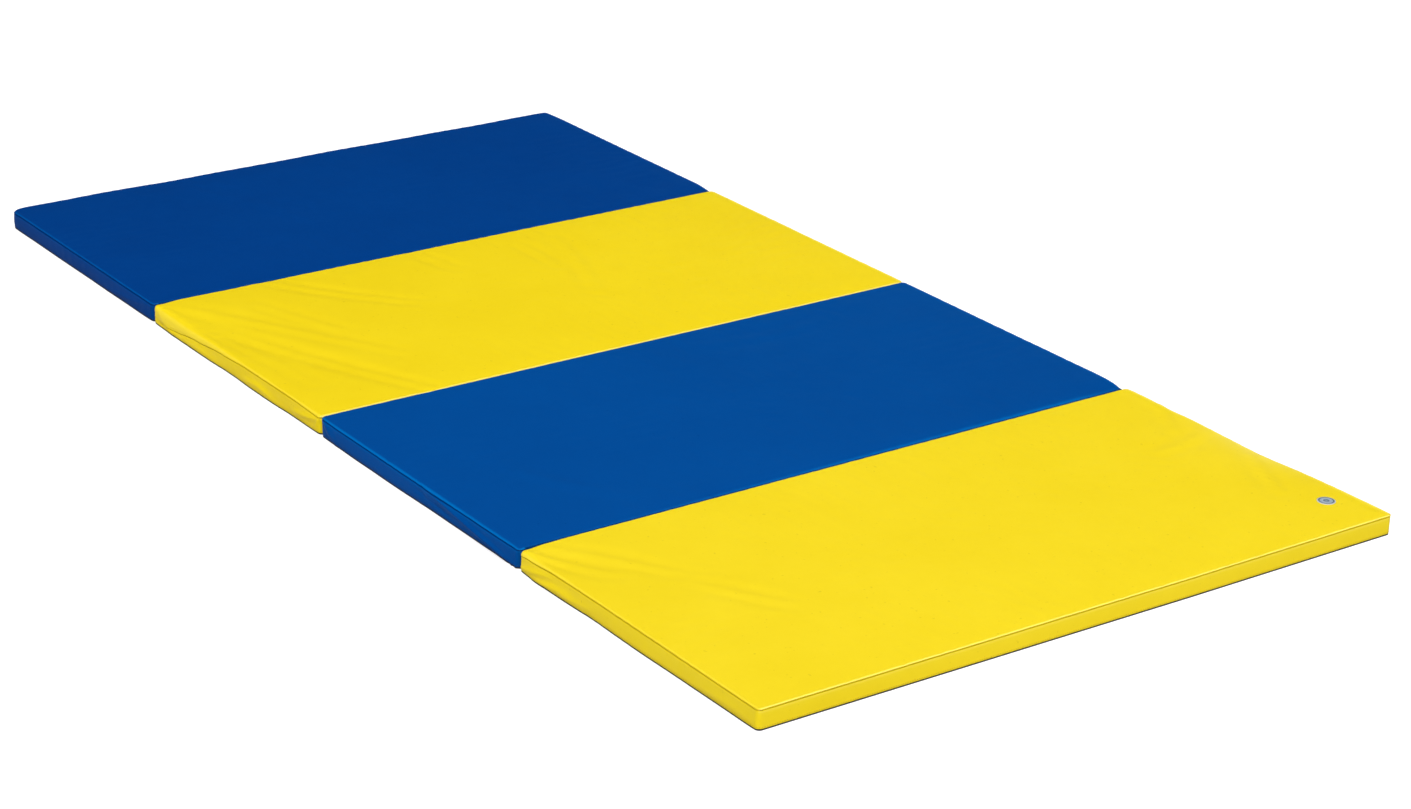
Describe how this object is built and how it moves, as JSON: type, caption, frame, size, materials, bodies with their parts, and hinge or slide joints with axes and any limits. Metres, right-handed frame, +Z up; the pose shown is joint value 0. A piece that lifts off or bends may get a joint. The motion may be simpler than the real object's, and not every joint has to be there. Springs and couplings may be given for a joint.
{
  "type": "folding gym mat",
  "caption": "Folding exercise mat of padded rectangular panels in alternating colours, hinged edge to edge so that it folds up zigzag into a stack, with a zipped cover on each panel.",
  "frame": {"origin": "on the floor under the middle of the mat laid out flat", "axes": "+X along the mat from the first blue panel to the last yellow one, +Y across it towards the zipped side, +Z up"},
  "size_m": [2.44, 1.2255, 0.0356],
  "materials": {
    "blue_vinyl": "satin",
    "yellow_vinyl": "satin",
    "base_vinyl": "matte",
    "foam": "matte",
    "hinge_vinyl": "satin",
    "zip_tape": "matte",
    "zip_coil": "satin",
    "zip_metal": "satin",
    "badge": "satin"
  },
  "bodies": {
    "panel_1": {"foam_core_1": "foam", "top_sheet_1": "blue_vinyl", "side_band_1": "blue_vinyl", "base_sheet_1": "base_vinyl", "zip_tape_1": "zip_tape", "zip_chain_1": "zip_coil", "zip_stops_1": "zip_metal", "hinge_strip_1": "hinge_vinyl"},
    "panel_2": {"foam_core_2": "foam", "top_sheet_2": "yellow_vinyl", "side_band_2": "yellow_vinyl", "base_sheet_2": "base_vinyl", "zip_tape_2": "zip_tape", "zip_chain_2": "zip_coil", "zip_stops_2": "zip_metal", "hinge_strip_2": "hinge_vinyl"},
    "panel_3": {"foam_core_3": "foam", "top_sheet_3": "blue_vinyl", "side_band_3": "blue_vinyl", "base_sheet_3": "base_vinyl", "zip_tape_3": "zip_tape", "zip_chain_3": "zip_coil", "zip_stops_3": "zip_metal", "hinge_strip_3": "hinge_vinyl"},
    "panel_4": {"foam_core_4": "foam", "top_sheet_4": "yellow_vinyl", "side_band_4": "yellow_vinyl", "base_sheet_4": "base_vinyl", "zip_tape_4": "zip_tape", "zip_chain_4": "zip_coil", "zip_stops_4": "zip_metal", "badge": "badge"},
    "slider_1": {"zip_slider_1": "zip_metal"},
    "pull_1": {"zip_pull_1": "zip_metal"},
    "slider_2": {"zip_slider_2": "zip_metal"},
    "pull_2": {"zip_pull_2": "zip_metal"},
    "slider_3": {"zip_slider_3": "zip_metal"},
    "pull_3": {"zip_pull_3": "zip_metal"},
    "slider_4": {"zip_slider_4": "zip_metal"},
    "pull_4": {"zip_pull_4": "zip_metal"}
  },
  "joints": [
    {"name": "fold_1", "type": "hinge", "parent": "panel_1", "child": "panel_2", "pos_m": [-0.61, 0, 0.0355], "axis": [0, -1, 0], "range_deg": [0, 180], "deforming": ["hinge_strip_1"]},
    {"name": "fold_2", "type": "hinge", "parent": "panel_2", "child": "panel_3", "pos_m": [0, 0, -0.0005], "axis": [0, 1, 0], "range_deg": [0, 180], "deforming": ["hinge_strip_2"]},
    {"name": "fold_3", "type": "hinge", "parent": "panel_3", "child": "panel_4", "pos_m": [0.61, 0, 0.0355], "axis": [0, -1, 0], "range_deg": [0, 180], "deforming": ["hinge_strip_3"]},
    {"name": "zip_1_open", "type": "slide", "parent": "panel_1", "child": "slider_1", "axis": [-1, 0, 0], "range_m": [0, 0.52], "deforming": ["zip_tape_1", "zip_chain_1"]},
    {"name": "pull_1_turn", "type": "hinge", "parent": "slider_1", "child": "pull_1", "pos_m": [-0.6492, 0.6135, 0.016], "axis": [0, 0, -1], "range_deg": [0, 180]},
    {"name": "zip_2_open", "type": "slide", "parent": "panel_2", "child": "slider_2", "axis": [-1, 0, 0], "range_m": [0, 0.52], "deforming": ["zip_tape_2", "zip_chain_2"]},
    {"name": "pull_2_turn", "type": "hinge", "parent": "slider_2", "child": "pull_2", "pos_m": [-0.0392, 0.6135, 0.016], "axis": [0, 0, -1], "range_deg": [0, 180]},
    {"name": "zip_3_open", "type": "slide", "parent": "panel_3", "child": "slider_3", "axis": [-1, 0, 0], "range_m": [0, 0.52], "deforming": ["zip_tape_3", "zip_chain_3"]},
    {"name": "pull_3_turn", "type": "hinge", "parent": "slider_3", "child": "pull_3", "pos_m": [0.5708, 0.6135, 0.016], "axis": [0, 0, -1], "range_deg": [0, 180]},
    {"name": "zip_4_open", "type": "slide", "parent": "panel_4", "child": "slider_4", "axis": [-1, 0, 0], "range_m": [0, 0.52], "deforming": ["zip_tape_4", "zip_chain_4"]},
    {"name": "pull_4_turn", "type": "hinge", "parent": "slider_4", "child": "pull_4", "pos_m": [1.182, 0.6135, 0.016], "axis": [0, 0, -1], "range_deg": [0, 180]}
  ]
}
